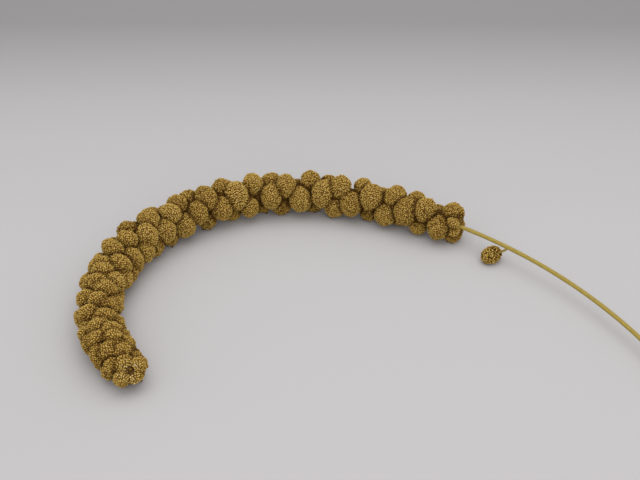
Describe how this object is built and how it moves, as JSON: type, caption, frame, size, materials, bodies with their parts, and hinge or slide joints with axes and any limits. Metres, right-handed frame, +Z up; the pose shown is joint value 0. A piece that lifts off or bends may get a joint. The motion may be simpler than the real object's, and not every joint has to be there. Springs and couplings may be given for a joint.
{
  "type": "millet seed head",
  "caption": "Dried foxtail millet seed head: a long bent spike of round grain clusters on a bare straw stalk, lying on a flat surface.",
  "frame": {"origin": "on the surface that the spray lies on, under the middle of its bounding box", "axes": "+X along the spray from its bend to the side of its stalk, +Z up from the surface"},
  "size_m": [0.364, 0.2183, 0.0323],
  "materials": {
    "grain": "dry matt golden grains with brown gaps",
    "straw": "dry satin straw with fine ribs"
  },
  "bodies": {
    "root": {"seed_head": "grain", "stray_cluster": "grain", "stalk": "straw"}
  },
  "joints": []
}
